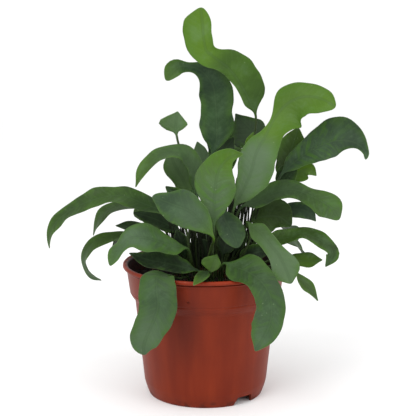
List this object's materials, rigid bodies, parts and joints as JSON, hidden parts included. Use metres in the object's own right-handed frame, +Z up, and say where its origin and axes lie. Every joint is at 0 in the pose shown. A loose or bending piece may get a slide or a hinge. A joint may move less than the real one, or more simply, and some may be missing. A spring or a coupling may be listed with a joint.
{
  "type": "potted blue star fern",
  "caption": "Blue star fern with wavy strap-shaped blue-green fronds in a plain terracotta-coloured plastic nursery pot.",
  "frame": {"origin": "centre of the pot's foot, on the surface the pot stands on, which is also the middle of the plant's width and depth", "axes": "+Z up along the pot's axis; -Y towards the viewer of the picture, the side the two drooping front fronds hang on; +X to the viewer's right"},
  "size_m": [0.2282, 0.1481, 0.2801],
  "materials": {
    "pot_plastic": "satin",
    "soil": "matte",
    "rhizome": "matte",
    "blade_blue": "satin",
    "blade_green": "satin",
    "blade_fresh": "satin",
    "blade_dark": "satin"
  },
  "bodies": {
    "root": {"pot": "pot_plastic", "soil": "soil", "rhizome": "rhizome", "frond_01_crown": "blade_fresh", "frond_02_tall": "blade_blue", "frond_03_small": "blade_fresh", "frond_04_arch": "blade_green", "frond_05_inner_left": "blade_fresh", "frond_06_behind": "blade_green", "frond_07_middle": "blade_green", "frond_08_front_left": "blade_blue", "frond_09_creased": "blade_fresh", "frond_10_behind_crown": "blade_dark", "frond_11_in_shade": "blade_dark", "frond_12_tip": "blade_fresh", "frond_13_upright": "blade_dark", "frond_14_right": "blade_blue", "frond_15_bright": "blade_fresh", "frond_16_long_right": "blade_green", "frond_17_low_right": "blade_blue", "frond_18_shaded": "blade_dark", "frond_19_twisted": "blade_dark", "frond_20_low_bright": "blade_fresh", "frond_21_hanging": "blade_dark", "frond_22_light": "blade_fresh", "frond_23_front_right": "blade_blue", "frond_24_centre": "blade_blue", "frond_25_low_dark": "blade_dark", "frond_26_big_left": "blade_green", "frond_27_under_arch": "blade_green", "frond_28_olive": "blade_dark", "frond_29_pointed": "blade_green", "frond_30_broad_left": "blade_blue", "frond_31_curl": "blade_green", "frond_32_over_rim_left": "blade_dark", "frond_33_centre_young": "blade_green", "frond_34_front_drooping": "blade_blue", "frond_35_rim_tip": "blade_dark", "frond_36_shadow": "blade_dark", "frond_37_inner_dark": "blade_dark", "frond_38_inner_low": "blade_dark", "frond_39_inner_middle": "blade_dark", "frond_40_inner_right": "blade_dark", "frond_41_back": "blade_blue", "frond_42_back_right": "blade_green", "frond_43_back_left": "blade_green", "frond_44_back_low": "blade_blue", "frond_45_back_tall": "blade_fresh", "frond_46_back_far_left": "blade_dark", "frond_47_back_hanging": "blade_blue", "frond_48_back_side": "blade_green", "frond_49_back_high": "blade_blue", "frond_50_deep_right": "blade_dark"}
  },
  "joints": []
}
